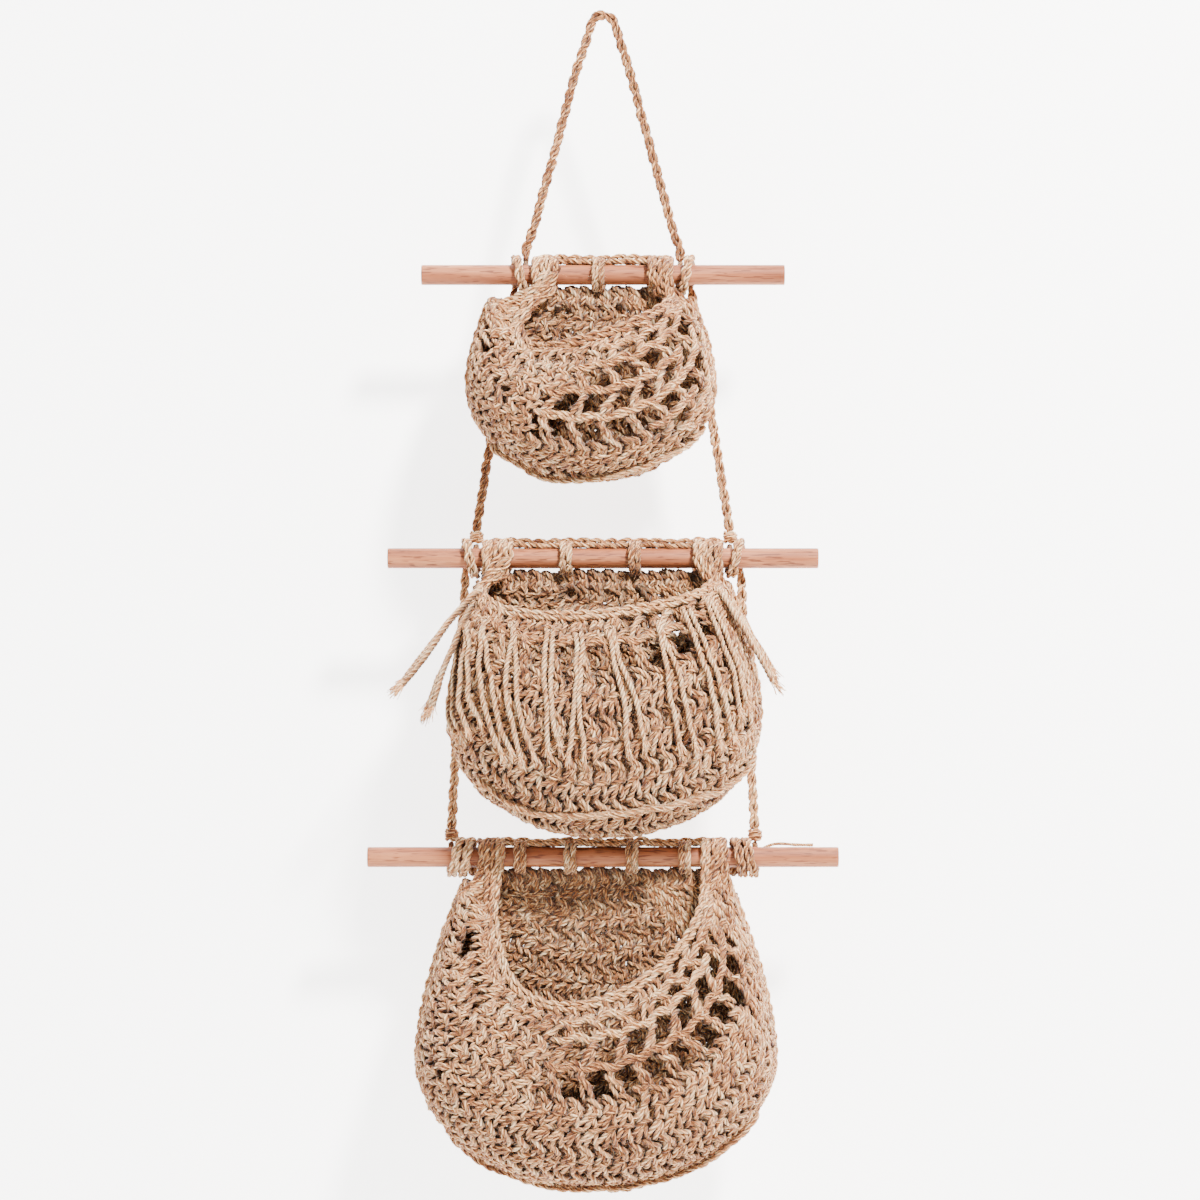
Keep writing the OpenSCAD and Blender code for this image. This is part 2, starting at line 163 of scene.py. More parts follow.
def jute_material(name, stops, dark="#3f1f0b", depth_shade_share=0.95):
    """Twisted jute: fibre streaks along the plies, painted shade in the valleys between plies and uneven tone.

    The map "strand" runs along the yarn in U, in millimetres, and round it in V, turning with
    the plies. The attribute "yarn" holds the tone of the strand and its painted shade, darker the deeper the point
    lies and on a strand's sides.
    """
    n = Nodes(name)
    strand = n.add("ShaderNodeUVMap", uv_map="strand").outputs["UV"]
    attribute = n.add("ShaderNodeAttribute", attribute_name="yarn")
    split = n.add("ShaderNodeSeparateColor")
    n.link(attribute.outputs["Color"], split.inputs["Color"])
    tone, depth_shade = split.outputs["Red"], split.outputs["Green"]
    place = n.add("ShaderNodeTexCoord").outputs["Object"]
    fibres = n.noise(n.scaled(strand, (0.16, 26.0, 1.0)), 1.0, 4.0, 0.7)
    coarse = n.noise(n.scaled(strand, (0.12, 9.0, 1.0)), 1.0, 2.0, 0.5)
    blotch = n.noise(place, 42.0, 2.0, 0.5)
    level = n.math("ADD", n.math("MULTIPLY", fibres, 0.35), n.math("MULTIPLY", coarse, 0.65))
    level = n.math("ADD", level, n.math("MULTIPLY", n.math("SUBTRACT", tone, 0.5), 0.09))
    level = n.math("ADD", level, n.math("MULTIPLY", n.math("SUBTRACT", blotch, 0.5), 0.1))
    colour = n.ramp(level, stops)
    axis = n.add("ShaderNodeSeparateXYZ")
    n.link(strand, axis.inputs[0])
    wave = n.math("COSINE", n.math("MULTIPLY", axis.outputs["Y"], 6 * math.pi))
    # Painted shade in the valleys between the plies
    ply_valley_shade = n.math("POWER", n.math("MULTIPLY", n.math("ADD", n.math("MULTIPLY", wave, -1.0), 1.0), 0.5), 1.7)
    colour = n.mix(n.math("MULTIPLY", ply_valley_shade, 0.9), colour, n.mix(0.8, colour, dark))
    # Painted shade from the attribute: darker the deeper a point lies in the fabric and on a strand's sides
    colour = n.mix(n.math("MULTIPLY", depth_shade, depth_shade_share), colour, n.mix(0.85, colour, dark))
    n.link(colour, n.shader.inputs["Base Color"])
    n.shader.inputs["Roughness"].default_value = 0.82
    n.shader.inputs["Specular IOR Level"].default_value = 0.22
    n.shader.inputs["Sheen Weight"].default_value = 0.25
    n.shader.inputs["Sheen Roughness"].default_value = 0.5
    n.bump(n.math("ADD", n.math("MULTIPLY", fibres, 0.6), n.math("MULTIPLY", wave, 0.45)), 0.9, 0.0007)
    return n.material


def beech_material():
    """Bare pinkish beech: soft figure along the dowel and short dark pore flecks."""
    n = Nodes("beech")
    place = n.add("ShaderNodeTexCoord").outputs["Object"]
    figure = n.noise(n.scaled(place, (5.0, 110.0, 110.0)), 1.0, 3.0, 0.55)
    fine = n.noise(n.scaled(place, (24.0, 900.0, 900.0)), 1.0, 3.0, 0.6)
    patch = n.noise(n.scaled(place, (14.0, 60.0, 60.0)), 1.0, 2.0, 0.5)
    level = n.math("ADD", n.math("MULTIPLY", figure, 0.45),
                   n.math("ADD", n.math("MULTIPLY", fine, 0.25), n.math("MULTIPLY", patch, 0.3)))
    colour = n.ramp(level, [(0.34, "#733a1f"), (0.46, "#935433"), (0.56, "#ad6d48"), (0.68, "#c98c66")])
    fleck = n.noise(n.scaled(place, (90.0, 900.0, 900.0)), 1.0, 1.0, 0.4)
    fleck = n.ramp(fleck, [(0.58, "#000000"), (0.66, "#ffffff")])
    colour = n.mix(n.math("MULTIPLY", fleck, 0.8), colour, "#5f2f1a")
    n.link(colour, n.shader.inputs["Base Color"])
    n.shader.inputs["Roughness"].default_value = 0.55
    n.shader.inputs["Specular IOR Level"].default_value = 0.35
    n.bump(n.math("SUBTRACT", fine, n.math("MULTIPLY", fleck, 0.4)), 0.25, 0.0004)
    return n.material


WARM = [(0.39, "#4f250b"), (0.445, "#93552a"), (0.50, "#cf8b51"), (0.545, "#ffbd7d"), (0.59, "#ffe0b2")]
JUTE = jute_material("jute", WARM)
# Stray fibres take only a little of the painted shade
FUZZ = jute_material("jute_fuzz", WARM, depth_shade_share=0.2)
BEECH = beech_material()


# ---- yarn ----

def smooth(points, step):
    """A Catmull-Rom curve through control points, resampled evenly; extra columns ride along."""
    p = np.asarray(points, float)
    if len(p) > 2:
        ends = np.vstack([2 * p[0] - p[1], p, 2 * p[-1] - p[-2]])
        u = (np.arange(6) / 6)[None, :, None]
        a, b, c, d = (ends[i:len(ends) - 3 + i, None, :] for i in range(4))
        q = 0.5 * (2 * b + (c - a) * u + (2 * a - 5 * b + 4 * c - d) * u ** 2
                   + (3 * b - a - 3 * c + d) * u ** 3)
        p = np.vstack([q.reshape(-1, p.shape[1]), p[-1:]])
    along = np.concatenate([[0], np.cumsum(np.linalg.norm(np.diff(p[:, :3], axis=0), axis=1))])
    count = max(3, int(round(along[-1] / step)) + 1)
    places = np.linspace(0, along[-1], count)
    return np.column_stack([np.interp(places, along, p[:, k]) for k in range(p.shape[1])])


def carried_normals(tangents):
    """A normal carried along a path without twist."""
    tx, ty, tz = tangents[0]
    n = (0.0, -tz, ty) if abs(tx) < 0.8 else (-tz, 0.0, tx)
    out = []
    for tx, ty, tz in tangents.tolist():
        dot = n[0] * tx + n[1] * ty + n[2] * tz
        x, y, z = n[0] - dot * tx, n[1] - dot * ty, n[2] - dot * tz
        size = math.sqrt(x * x + y * y + z * z) or 1.0
        n = (x / size, y / size, z / size)
        out.append(n)
    return np.array(out)


class Yarns:
    """Collects strands and makes one mesh object of them."""

    def __init__(self, body, material=JUTE):
        self.body, self.material = body, material
        self.parts, self.count = [], 0
        self.roots = []

    def strand(self, points, radius=1.5, step=1.3, sides=9, twist=15.0, tone=None, taper=0.0,
               fuzz=True, round_about=False):
        """One yarn. Each point has x, y, z, then if given its painted shade from 0 to 1, darker the deeper it lies,
        then if given the way out of the fabric, which leaves the top of a strand bright and gives its sides painted
        shade.
        A strand that is seen from all round is given no more painted shade at its back than on top."""
        p = np.asarray(points, float)
        if p.shape[1] == 3:
            p = np.column_stack([p, np.zeros(len(p))])
        p = smooth(p, step)
        xyz, depth_shade = p[:, :3], np.clip(p[:, 3], 0, 1)
        tangent = np.gradient(xyz, axis=0)
        tangent /= np.linalg.norm(tangent, axis=1)[:, None] + 1e-12
        normal = carried_normals(tangent)
        side = np.cross(tangent, normal)
        rings = len(xyz)
        turn = 2 * math.pi * np.arange(rings) * step / twist + rng.uniform(0, 6.28)
        angle = turn[:, None] + 2 * math.pi * np.arange(sides)[None, :] / sides
        lobes = {9: (1.07, 1.07, 0.74), 6: (1.08, 0.84), 3: (1.0,)}[sides]
        profile = np.tile(lobes, sides // len(lobes))
        width = radius * (1 + 0.05 * np.sin(np.arange(rings) * 0.5 + rng.uniform(0, 6)))
        if taper:
            width = width * np.linspace(1, 1 - taper, rings)
        reach = width[:, None, None] * profile[None, :, None]
        spoke = np.cos(angle)[..., None] * normal[:, None, :] + np.sin(angle)[..., None] * side[:, None, :]
        verts = xyz[:, None, :] + reach * spoke
        # Painted shade, darker the deeper a point lies in the fabric
        shade = np.repeat(depth_shade[:, None], sides, axis=1)
        if p.shape[1] == 7:
            # Painted shade on the sides of a strand, which turn away from the way out of the fabric
            lift = np.sum(spoke * p[:, None, 4:7], axis=2)
            if round_about:
                lift = np.abs(lift)
            shade = shade + 1.15 * np.clip(0.7 - lift, 0, 1.3)
        tone = rng.uniform(0, 1) if tone is None else tone
        along = np.arange(rings) * step + rng.uniform(0, 400)
        self.parts.append((verts.reshape(-1, 3), rings, sides, along, np.clip(shade, 0, 1), tone, len(lobes)))
        if fuzz:
            self.roots.append(np.column_stack([xyz, normal, side, np.full(rings, radius)]))

    def faces(self):
        return sum(part[1] * part[2] * 2 for part in self.parts)

    def build(self, name, nodes=()):
        """Makes the object, rides it on its body and lets it stand for the named solids."""
        verts, corners, starts, uvs, colours = [], [], [], [], []
        base = total = 0
        for xyz, rings, sides, along, shade, tone, lobe in self.parts:
            verts.append(xyz)
            i = np.arange(rings - 1)[:, None]
            j = np.arange(sides)[None, :]
            nxt = (j + 1) % sides
            quad = np.stack([i * sides + j, i * sides + nxt, (i + 1) * sides + nxt, (i + 1) * sides + j], -1)
            corners.append(quad.reshape(-1) + base)
            count = quad.size // 4
            starts.append(total + 4 * np.arange(count))
            total += quad.size
            # The map's V has its peaks on the lobes, whose first two points share a ply, and
            # stays 0 on a single fibre
            place = (np.arange(sides + 1) - (0.5 if lobe == 3 else 0.0)) / sides * (lobe > 1)
            here = along[:-1, None] + 0 * j
            there = along[1:, None] + 0 * j
            low = place[:-1][None, :] + 0 * i
            high = place[1:][None, :] + 0 * i
            uvs.append(np.stack([np.stack([here, low], -1), np.stack([here, high], -1),
                                 np.stack([there, high], -1), np.stack([there, low], -1)], 2).reshape(-1, 2))
            for cap in (np.arange(sides)[::-1], (rings - 1) * sides + np.arange(sides)):
                corners.append(cap + base)
                starts.append(np.array([total]))
                total += sides
                uvs.append(np.column_stack([np.full(sides, along[0]), np.arange(sides) / sides]))
            # The attribute "yarn" holds the tone in red and the painted shade in green
            colour = np.empty((rings * sides, 4))
            colour[:] = (tone, 0, 0.5, 1)
            colour[:, 1] = shade.ravel()
            colours.append(colour)
            base += len(xyz)
        mesh = bpy.data.meshes.new(name)
        mesh.vertices.add(base)
        mesh.vertices.foreach_set("co", (np.concatenate(verts) * MM).astype(np.float32).ravel())
        mesh.loops.add(total)
        mesh.loops.foreach_set("vertex_index", np.concatenate(corners).astype(np.int32))
        starts = np.concatenate(starts).astype(np.int32)
        mesh.polygons.add(len(starts))
        mesh.polygons.foreach_set("loop_start", starts)
        mesh.polygons.foreach_set("use_smooth", np.ones(len(starts), bool))
        mesh.update(calc_edges=True)
        layer = mesh.uv_layers.new(name="strand")
        layer.data.foreach_set("uv", np.concatenate(uvs).astype(np.float32).ravel())
        attribute = mesh.color_attributes.new("yarn", "FLOAT_COLOR", "POINT")
        attribute.data.foreach_set("color", np.concatenate(colours).astype(np.float32).ravel())
        mesh.materials.append(self.material)
        obj = bpy.data.objects.new(name, mesh)
        bpy.context.scene.collection.objects.link(obj)
        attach(obj, self.body)
        for node in nodes:
            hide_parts(node)
        return obj


def add_fuzz(yarns, name, count, reach=(2.5, 7.0)):
    """Stray fibres that stand off the strands."""
    roots = np.concatenate(yarns.roots)
    pick = roots[rng.integers(0, len(roots), count)]
    fuzz = Yarns(yarns.body, FUZZ)
    angle = rng.uniform(0, 2 * math.pi, count)
    out = np.cos(angle)[:, None] * pick[:, 3:6] + np.sin(angle)[:, None] * pick[:, 6:9]
    start = pick[:, :3] + out * pick[:, 9:10] * 0.8
    lean = np.cross(pick[:, 3:6], pick[:, 6:9]) * rng.uniform(-1, 1, (count, 1))
    length = rng.uniform(*reach, count)[:, None]
    curl = rng.normal(0, 0.5, (count, 3))
    way = out + 1.2 * lean
    way /= np.linalg.norm(way, axis=1)[:, None]
    mid = start + way * length * 0.5 + curl * length * 0.12
    tip = start + way * length * 0.85 + curl * length * 0.4
    for a, b, c in zip(start, mid, tip):
        fuzz.strand(np.array([a, b, c]), radius=rng.uniform(0.06, 0.11),
                    step=np.linalg.norm(c - a) / 3, sides=3, taper=0.7, fuzz=False)
    fuzz.build(name)


# One loop of crochet chain: share of the pitch, share of the half width, and height in yarn
# radii. A leg runs out, turns behind the next loop and comes back, then the yarn passes behind.
CHAIN = np.array([
    (0.00, 0.12, -1.05), (0.30, 0.32, 0.35), (0.75, 0.88, 0.65), (1.14, 0.82, 0.15),
    (1.32, 0.00, -0.55), (1.14, -0.82, 0.15), (0.75, -0.88, 0.65), (0.30, -0.32, 0.35),
    (0.00, -0.12, -1.05), (0.50, 0.00, -1.70)])


def chain(yarns, centre, side, front, pitch, half_width, radius, step=1.3, wobble=0.22,
          flat=1.0, sides=9, shift=0.5, core=None):
    """A crochet chain along a path, with its V's facing front and spread along side."""
    along = np.concatenate([[0], np.cumsum(np.linalg.norm(np.diff(centre, axis=0), axis=1))])
    loops = max(2, int(round(along[-1] / pitch - 0.4)))
    pitch = along[-1] / (loops + 0.36)
    shape = np.concatenate([CHAIN + (k, 0, 0) for k in range(loops)])[:-1]
    places = np.clip(shape[:, 0] * pitch, 0, along[-1])
    def ride(v):
        return np.column_stack([np.interp(places, along, v[:, k]) for k in range(3)])
    c, s, f = ride(centre), ride(side), ride(front)
    points = c + s * (shape[:, 1:2] * half_width) + f * ((shape[:, 2:3] + shift) * radius * flat)
    points += rng.normal(0, wobble, points.shape)
    # Painted shade where the yarn passes behind the loops
    hidden_shade = np.clip(-shape[:, 2] - 0.4, 0, 1) * 0.7
    yarns.strand(np.column_stack([points, hidden_shade, f]), radius, step, sides, round_about=True)
    if core:
        middle = centre + front * (core * radius)
        # The core gets painted shade, as it lies under the loops
        yarns.strand(np.column_stack([middle, 0.6 + 0 * along]), radius * 1.3, step * 1.5, 6)


def path_frames(points, front):
    """Even points of a path with a side vector and the front made square to it."""
    p = smooth(points, 1.5)[:, :3]
    t = np.gradient(p, axis=0)
    t /= np.linalg.norm(t, axis=1)[:, None]
    f = np.broadcast_to(np.asarray(front, float), p.shape)
    f = f - np.sum(f * t, axis=1)[:, None] * t
    f /= np.linalg.norm(f, axis=1)[:, None]
    return p, np.cross(f, t), f


# ---- cords ----

def cord_chain(name, body, node, route, front=(0, -1, 0), turned=None):
    """A chain-stitched cord along its route."""
    yarns = Yarns(body)
    p, side, face = path_frames(route, front)
    if turned is not None:
        c, s = np.cos(turned)[:, None], np.sin(turned)[:, None]
        side, face = side * c + face * s, face * c - side * s
    chain(yarns, p, side, face, 10.6, 2.15, 1.75, shift=0.5, core=-0.45)
    obj = yarns.build(name, [node])
    return yarns, obj, p


def declare(path):
    path = np.asarray(path, float) * MM


LOOP = [(0, 0, 3.6), (4.4, 0, 2.4), (7.6, 0, -0.8), (9.4, 0.2, -5.4), (11.4, 0.6, -12),
        (15.4, 1.6, -24), (21.6, 3, -44), (29.6, 5, -74), (38.4, 7.2, -106), (46.4, 9.2, -135),
        (52.2, 10.6, -156), (TOP_X - 0.6, WIND_R, TOP_Z + HEAD_H + 1.4 * LEAD),
        (TOP_X, WIND_R, TOP_Z + HEAD_H + 0.7 * LEAD), (TOP_X, WIND_R, TOP_Z + HEAD_H)]
loop_route = [(-x, y, z) for x, y, z in LOOP[::-1]] + LOOP[1:]
loop_yarns, loop_obj, loop_path = cord_chain("hanging_cord_chain", "hanging_cord", "hanging_cord", loop_route)
declare(loop_path)

cord_yarns = []
for level, x_top, z_top, x_foot, z_foot in (
        ("upper", TOP_X + TURN_STEP, TOP_Z, MIDDLE_X, MIDDLE_Z),
        ("lower", MIDDLE_X + TURN_STEP, MIDDLE_Z, BOTTOM_X, BOTTOM_Z)):
    for side, word in ((-1, "left"), (1, "right")):
        foot = z_foot + FOOT_H + (FREE if side > 0 else 0)
        route = [(side * x_top, WIND_R, z_top - HEAD_H + 3.2), (side * x_foot, WIND_R, foot - 3.2)]
        mid = [tuple(np.array(route[0]) + (np.array(route[1]) - np.array(route[0])) * u) for u in (0.33, 0.67)]
        made = cord_chain(f"{level}_cord_chain_{word}", f"{level}_cord_{word}", f"{level}_cord_{word}",
                          [route[0]] + mid + [route[1]])
        declare(made[2])
        cord_yarns.append(made[0])

# The loose yarn end on the bottom dowel
TAIL = [(0, 0, 0), (3.4, -0.2, 2), (8, -2, 3.8), (13, -5, 4.6), (18, -8.4, 4.6), (24, -10.8, 4.2),
        (31, -11.4, 4), (38, -11.4, 4)]
tail_start = np.array([BOTTOM_X + CORD_R + 1.2 + 0.4, WIND_R, BOTTOM_Z + 7.85 + 1.2 - 4])
tail = Yarns("bottom_wraps")
tail_path = smooth(np.array(TAIL) + tail_start, 1.0)[:, :3]
tail.strand(tail_path, 1.15, 0.9, 9, 5.0, tone=0.7)
tail_obj = tail.build("yarn_end", ["yarn_tail"])
declare(tail_path)


# ---- turns and knots ----

def turn_route(x, step, turns, tail):
    """The helix of the solids: down the back, round and down again."""
    u = np.linspace(0, 1, 48 * turns + 1)
    a = 2 * math.pi * turns * u
    coil = np.column_stack([x + step * turns * (u - np.sin(a) / (2 * math.pi * turns)),
                            WIND_R * np.cos(a), -WIND_R * np.sin(a)])
    top = [(x, WIND_R, LEAD + 2.6), (x, WIND_R, LEAD / 2)]
    return np.vstack([top, coil, [(x + step * turns, WIND_R, -tail / 2), (x + step * turns, WIND_R, -tail)]])


def add_turn(name, body, node, z, x, step, turns, tail):
    yarns = Yarns(body)
    p = smooth(turn_route(x, step, turns, tail), 1.2)[:, :3]
    t = np.gradient(p, axis=0)
    t /= np.linalg.norm(t, axis=1)[:, None]
    out = p * (0, 1, 1)
    out /= np.linalg.norm(out, axis=1)[:, None]
    straight = np.abs(p[:, 1] - WIND_R) < 0.01
    out[straight] = (0, 1, 0)
    out -= np.sum(out * t, axis=1)[:, None] * t
    out /= np.linalg.norm(out, axis=1)[:, None]
    p = p + (0, 0, z)
    chain(yarns, p, np.cross(out, t), out, 10.0, 2.2, 1.75, shift=0.5, core=-0.6)
    yarns.build(name, [node])
    return yarns


def add_knot(name, body, node, x, z, radius=1.6):
    """A pulled-tight overhand knot of two strands, about as big as the solid."""
    yarns = Yarns(body)
    a = np.linspace(0, 2 * math.pi, 40)
    size = 3.1 + 1.2 * np.cos(3 * a)
    for lift in (-1.35, 1.35):
        knot = np.column_stack([size * np.cos(2 * a), size * np.sin(2 * a), 1.9 * np.sin(3 * a) + lift])
        yarns.strand(knot + (x, WIND_R, z + 4.6), radius, 1.1)
    yarns.build(name, [node])
    return yarns


turn_yarns = []
for side, word in ((-1, "left"), (1, "right")):
    turn_yarns += [
        add_turn(f"top_turn_{word}", "top_wraps", f"top_wrap_{word}", TOP_Z, side * TOP_X, side * TURN_STEP, 1, LEAD),
        add_turn(f"middle_turn_{word}", "middle_wraps", f"middle_wrap_{word}", MIDDLE_Z, side * MIDDLE_X,
                 side * TURN_STEP, 1, LEAD),
        add_turn(f"bottom_turn_{word}", "bottom_wraps", f"bottom_wrap_{word}", BOTTOM_Z, side * BOTTOM_X,
                 -side * TURN_STEP, 2, 14),
        add_knot(f"middle_tied_knot_{word}", "middle_knots", f"middle_knot_{word}", side * MIDDLE_X, MIDDLE_Z + 11.2),
        add_knot(f"bottom_tied_knot_{word}", "bottom_knots", f"bottom_knot_{word}", side * BOTTOM_X, BOTTOM_Z + 11.2)]


# ---- surfaces of the crochet ----

def mix(a, b, t):
    return a + (b - a) * t


def outline(b, s):
    """Edge of a basket's back, in X and Z below its dowel."""
    s = np.clip(s, 0, 1)
    m = np.where(s < 0.5, s, 1 - s)
    side = b["wide"] - EDGE_DROP
    arc = math.pi / 2 * (b["half"] + b["drop"] - b["wide"])
    f = side / (2 * side + arc)
    u = np.clip(1 - m / f, 0, 1)
    a = np.clip(math.pi / 2 * (m - f) / (0.5 - f), 0, math.pi / 2)
    x = np.where(m < f, b["half"] - (b["half"] - b["neck"]) * u ** 1.6, b["half"] * np.cos(a))
    z = np.where(m < f, -mix(b["wide"], EDGE_DROP, u), -b["wide"] - (b["drop"] - b["wide"]) * np.sin(a))
    return b["shift"] + np.where(s < 0.5, -x, x), z


def rim(b, s):
    s = np.clip(s, 0, 1)
    arch = np.clip(np.sin(math.pi * s), 0, 1)
    return (b["mouth_shift"] - b["mouth"] * np.cos(math.pi * s),
            PANEL_Y - 8 - (0.65 * b["depth"] - 8) * arch ** 0.8,
            -EDGE_DROP - (b["dip"] - EDGE_DROP) * np.clip(np.sin(math.pi * s ** b["skew"]), 0, 1))


def pocket_at(b, s, t):
    """The pocket's outer surface, as in the solids, in the frame's place."""
    s, t = np.broadcast_arrays(np.asarray(s, float), np.asarray(t, float))
    s = np.clip(s, 0, 1)
    ox, oz = outline(b, s)
    mx, my, mz = rim(b, s)
    d = 0.1 + 0.9 * np.clip(np.sin(math.pi * s), 0, 1) ** 0.7
    seam = np.stack([ox, np.full_like(ox, PANEL_Y), oz], -1)
    low = seam - np.stack([0 * d, 0.85 * b["depth"] * d, b["sag"] * d], -1)
    high = np.stack([mix(ox, mx, 0.3), PANEL_Y - 1.35 * b["depth"] * d, mix(oz, mz, 0.45)], -1)
    top = np.stack([mx, my, mz], -1)
    t = t[..., None]
    p = (1 - t) ** 3 * seam + 3 * (1 - t) ** 2 * t * low + 3 * (1 - t) * t * t * high + t ** 3 * top
    return p + (0, 0, b["z"])


def panel_at(b, s, t):
    """The back panel: rows run round from the edge towards the middle under the dowel."""
    s, t = np.broadcast_arrays(np.asarray(s, float), np.asarray(t, float))
    ox, oz = outline(b, s)
    cx = b["shift"] + (ox - b["shift"]) * 0.25
    cz = -EDGE_DROP - 4.0 + 0 * oz
    x, z = mix(ox, cx, t), mix(oz, cz, t)
    return np.stack([x, np.full_like(x, PANEL_Y), z + b["z"]], -1)


class Cloth:
    """A surface to crochet on: at gives points, t rises row by row, s runs along the rows."""

    def __init__(self, at, flip=1.0):
        self.at, self.flip = at, flip

    def normal(self, s, t, e=0.004):
        a = self.at(np.clip(s + e, 0, 1), t) - self.at(np.clip(s - e, 0, 1), t)
        c = self.at(s, np.clip(t + e, 0, 1)) - self.at(s, np.clip(t - e, 0, 1))
        n = np.cross(a, c)
        return self.flip * n / (np.linalg.norm(n, axis=-1, keepdims=True) + 1e-9)

    def off(self, s, t, d):
        return self.at(s, t) + self.normal(s, t) * np.asarray(d)[..., None]

    def row_scale(self, t):
        s = np.linspace(0, 1, 241)
        p = self.at(s, np.full_like(s, t))
        return s, np.concatenate([[0], np.cumsum(np.linalg.norm(np.diff(p, axis=0), axis=1))])

    def rib_scale(self, s):
        t = np.linspace(0, 1, 121)
        p = self.at(np.full_like(t, s), t)
        return t, np.concatenate([[0], np.cumsum(np.linalg.norm(np.diff(p, axis=0), axis=1))])


# Strands of one stitch: across in stitch widths, up in row heights, out in millimetres. Rows
# show their right side and their wrong side in turn, as rows worked to and fro do.
RIGHT_SIDE = [
    np.array([(-0.50, 1.04, -2.8), (-0.30, 0.98, -0.7), (0.02, 0.80, 0.4), (0.30, 0.58, 0.0), (0.47, 0.44, -2.8)]),
    np.array([(-0.45, 0.74, -3.2), (-0.22, 0.68, -1.4), (0.02, 0.52, -0.9), (0.14, 0.34, -0.6), (0.16, 0.08, -1.4),
              (0.10, -0.12, -3.6)]),
    np.array([(0.34, 0.64, -2.2), (0.38, 0.36, -0.7), (0.43, 0.06, -1.3), (0.46, -0.14, -3.6)]),
    np.array([(0.00, 0.62, -2.0), (-0.13, 0.34, -0.6), (-0.21, 0.06, -1.3), (-0.24, -0.14, -3.6)])]
WRONG_SIDE = [
    np.array([(0.00, 0.97, -2.2), (-0.13, 0.64, -0.5), (-0.29, 0.27, -0.5), (-0.36, -0.02, -1.8), (-0.38, -0.14, -3.6)]),
    np.array([(0.04, 0.97, -2.6), (0.14, 0.64, -0.9), (0.20, 0.27, -0.6), (0.22, -0.02, -1.8), (0.22, -0.14, -3.6)]),
    np.array([(0.10, 0.20, -3.2), (0.34, 0.36, -1.0), (0.52, 0.58, -0.5), (0.68, 0.76, -0.9), (0.86, 0.88, -3.2)]),
    np.array([(-0.38, 0.84, -3.0), (-0.14, 0.97, -0.6), (0.16, 1.02, -0.5), (0.42, 0.92, -3.0)])]
# The zigzag that fills the fabric behind them
FILL = np.array([(-0.38, 0.04, 0.0), (-0.12, 0.98, 0.0), (0.12, 0.04, 0.0), (0.38, 0.98, 0.0)])
# A bundle of three strands between two rows of mesh
BUNDLE = [
    np.array([(-0.22, -0.10, -3.4), (-0.21, 0.12, -1.2), (-0.10, 0.40, -0.1), (0.06, 0.72, -0.4), (0.12, 1.02, -2.8)]),
    np.array([(0.10, -0.10, -3.6), (0.15, 0.12, -1.4), (0.15, 0.40, -1.2), (-0.04, 0.72, -1.6), (-0.16, 1.02, -2.6)]),
    np.array([(-0.36, 0.34, -3.2), (-0.16, 0.50, 0.9), (0.14, 0.66, 0.8), (0.34, 0.80, -3.2)])]

WAVES = [(rng.normal(0, 1, 3) * 2 * math.pi / 55, rng.uniform(0, 6.28, 3)) for _ in range(5)]


def uneven(q, size=0.8):
    """The slow waviness of hand work."""
    return q + size * sum(np.sin((q @ k)[..., None] + phase) for k, phase in WAVES) / 2


